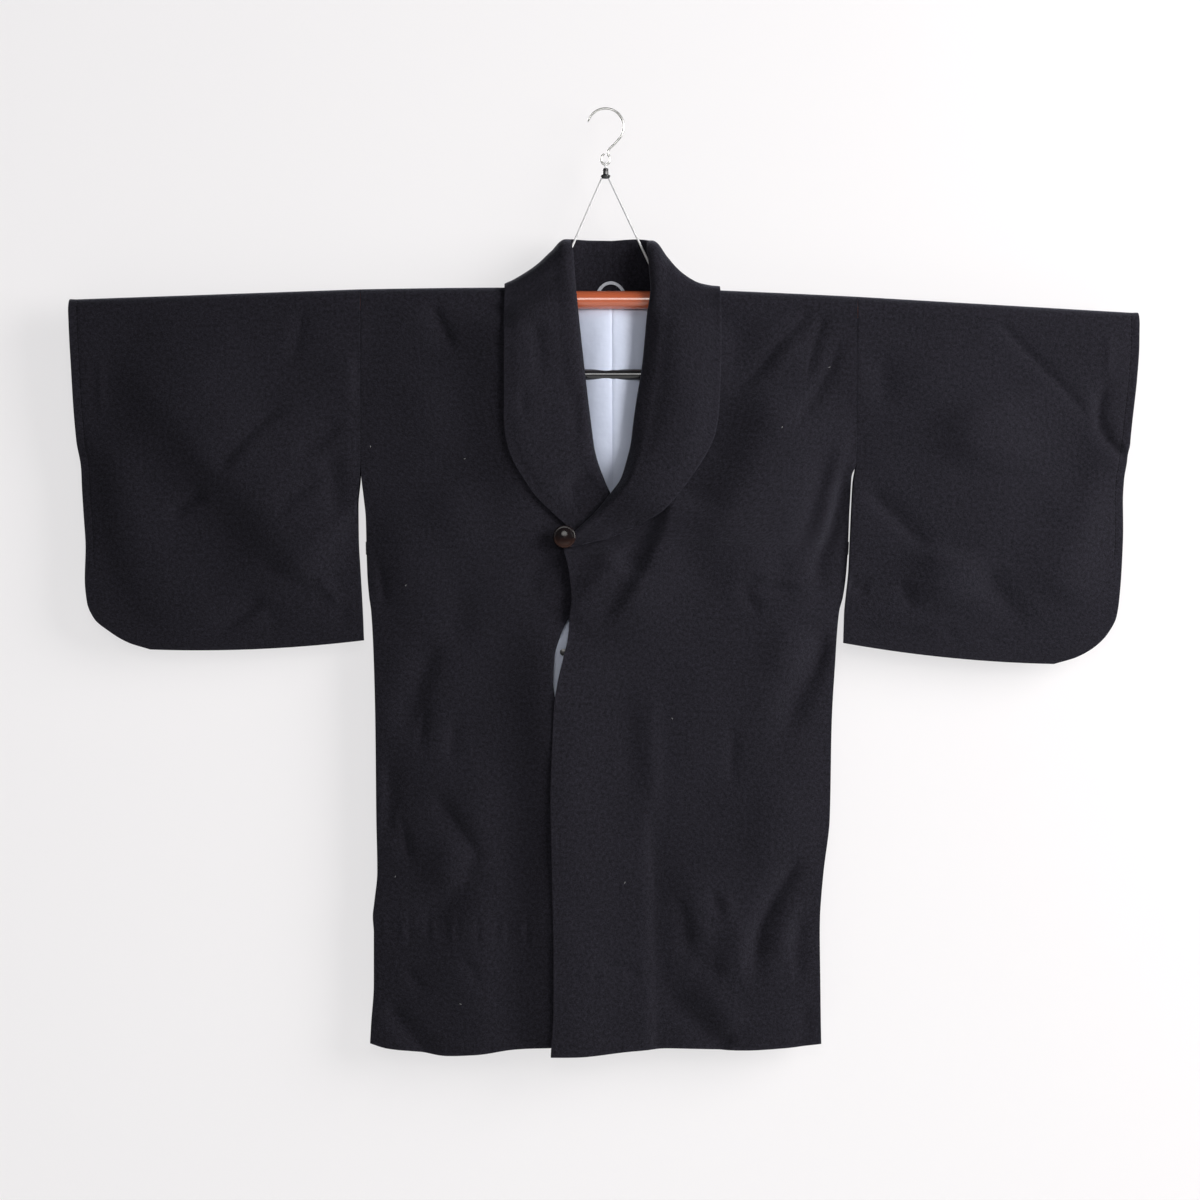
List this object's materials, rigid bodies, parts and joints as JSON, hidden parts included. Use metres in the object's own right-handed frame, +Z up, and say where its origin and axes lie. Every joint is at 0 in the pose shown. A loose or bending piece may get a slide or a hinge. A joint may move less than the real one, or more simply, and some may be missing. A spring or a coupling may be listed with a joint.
{
  "type": "kimono coat on hanger",
  "caption": "Short kimono coat with wide rounded sleeves, a rolled shawl collar and a large front button, hung flat on a long round bar with a cord and a wire hook.",
  "frame": {"origin": "the point inside the top of the hanger's wire hook, which bears on what it hangs from", "axes": "+Z up, the coat's front faces -Y, +X to the right of someone who looks at the front, along the sleeves"},
  "size_m": [1.2809, 0.053, 1.1359],
  "materials": {
    "black_wool": "napped wool cloth, matt with a faint sheen",
    "pale_blue_lining": "smooth plain lining cloth",
    "grey_tape": "folded tape of lining cloth",
    "dark_button": "polished domed button",
    "black_thread": "sewing thread",
    "black_stud": "enamelled press stud",
    "brown_bar": "glossy orange-brown tube",
    "black_plastic": "glossy black plastic",
    "white_cord": "braided white cord",
    "steel_wire": "plated wire"
  },
  "bodies": {
    "root": {"front_left": "black_wool", "shoulder_left": "black_wool", "back_left": "black_wool", "front_right": "black_wool", "shoulder_right": "black_wool", "back_right": "black_wool", "sleeve_left": "black_wool", "sleeve_right": "black_wool", "collar_left": "black_wool", "collar_right": "black_wool", "lining_left": "pale_blue_lining", "lining_right": "pale_blue_lining", "hanging_loop": "grey_tape", "front_button": "dark_button", "button_shank": "black_thread", "press_stud": "black_stud", "upper_bar": "brown_bar", "lower_bar": "black_plastic", "cord_upper_left": "white_cord", "cord_upper_right": "white_cord", "cord_lower_left": "white_cord", "cord_lower_right": "white_cord", "cord_loop": "white_cord", "ferrule": "black_plastic", "hook": "steel_wire"}
  },
  "joints": []
}
